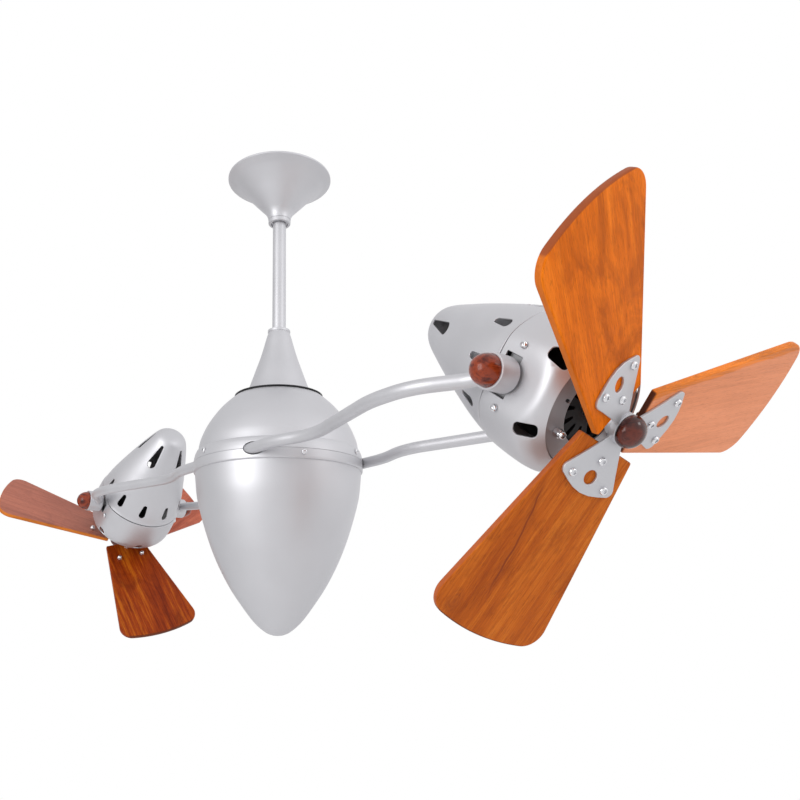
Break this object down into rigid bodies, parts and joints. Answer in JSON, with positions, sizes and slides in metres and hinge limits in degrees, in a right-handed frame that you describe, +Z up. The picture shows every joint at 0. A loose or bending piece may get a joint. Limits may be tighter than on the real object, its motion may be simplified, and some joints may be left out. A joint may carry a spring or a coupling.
{
  "type": "twin head ceiling fan",
  "caption": "Ceiling fan on a down rod: a turning egg-shaped body carries two bent tube forks, each with a tilting motor head and a rotor of wooden blades.",
  "frame": {"origin": "on the ceiling plane, on the down rod's axis, at the top face of the hanger bracket", "axes": "+Z up along the down rod, +X along the forks towards head a, +Y level and square to the forks"},
  "size_m": [1.1911, 0.426, 0.6551],
  "materials": {
    "nickel": "satin nickel-like paint, soft sheen",
    "zinc_steel": "zinc-plated pressed steel",
    "bright_screw": "bright domed fasteners",
    "black_metal": "satin black motor case",
    "bearing_steel": "ground steel",
    "black_plastic": "moulded insulator",
    "fibre": "friction washer",
    "blade_wood": "satin varnished reddish-orange hardwood, fine lengthwise grain",
    "cap_wood": "polished figured burl",
    "hub_wood": "polished dark rosewood"
  },
  "bodies": {
    "ceiling_mount": {"hanger_bracket": "zinc_steel", "hanger_ball": "black_plastic", "ball_pin": "zinc_steel", "downrod": "nickel", "canopy": "nickel", "canopy_collar": "nickel", "coupling_cover": "nickel", "spindle": "zinc_steel", "clevis_pin": "zinc_steel", "slip_ring": "black_plastic", "spindle_nut": "zinc_steel"},
    "turning_body": {"upper_shell": "nickel", "lower_shell": "nickel", "carrier_plate": "zinc_steel", "main_bearings": "bearing_steel", "brush_holder": "black_plastic", "arm_tube_front": "nickel", "arm_tube_rear": "nickel", "arm_clamps": "zinc_steel", "clamp_screws": "bright_screw", "body_screws": "bright_screw", "pivot_cups": "nickel", "pivot_caps": "cap_wood", "run_capacitors": "zinc_steel"},
    "head_a": {"a_rear_shell": "nickel", "a_front_shell": "nickel", "a_motor_bracket": "zinc_steel", "a_pivot_bolts": "bright_screw", "a_friction_washers": "fibre", "a_motor_stator": "black_metal", "a_ring_plate": "nickel", "a_standoff_screws": "bright_screw", "a_shell_screws": "bright_screw", "a_motor_bearings": "bearing_steel"},
    "rotor_a": {"a_motor_shaft": "bearing_steel", "a_blade_hub": "nickel", "a_blade_1": "blade_wood", "a_blade_2": "blade_wood", "a_blade_3": "blade_wood", "a_blade_screws": "bright_screw", "a_blade_nuts": "bright_screw", "a_hub_cap": "hub_wood"},
    "head_b": {"b_rear_shell": "nickel", "b_front_shell": "nickel", "b_motor_bracket": "zinc_steel", "b_pivot_bolts": "bright_screw", "b_friction_washers": "fibre", "b_motor_stator": "black_metal", "b_ring_plate": "nickel", "b_standoff_screws": "bright_screw", "b_shell_screws": "bright_screw", "b_motor_bearings": "bearing_steel"},
    "rotor_b": {"b_motor_shaft": "bearing_steel", "b_blade_hub": "nickel", "b_blade_1": "blade_wood", "b_blade_2": "blade_wood", "b_blade_3": "blade_wood", "b_blade_screws": "bright_screw", "b_blade_nuts": "bright_screw", "b_hub_cap": "hub_wood"}
  },
  "joints": [
    {"name": "main_spin", "type": "hinge", "parent": "ceiling_mount", "child": "turning_body", "pos_m": [0, 0, -0.43], "axis": [0, 0, 1], "continuous": true},
    {"name": "head_a_tilt", "type": "hinge", "parent": "turning_body", "child": "head_a", "pos_m": [0.4345, 0, -0.43], "axis": [0, 1, 0], "range_deg": [-128.1, 51.9]},
    {"name": "head_b_tilt", "type": "hinge", "parent": "turning_body", "child": "head_b", "pos_m": [-0.4345, 0, -0.43], "axis": [0, -1, 0], "range_deg": [-128.1, 51.9]},
    {"name": "rotor_a_spin", "type": "hinge", "parent": "head_a", "child": "rotor_a", "pos_m": [0.49745, 0, -0.47936], "axis": [0.7869, 0, -0.617], "continuous": true},
    {"name": "rotor_b_spin", "type": "hinge", "parent": "head_b", "child": "rotor_b", "pos_m": [-0.49745, 0, -0.47936], "axis": [-0.7869, 0, -0.617], "continuous": true}
  ]
}
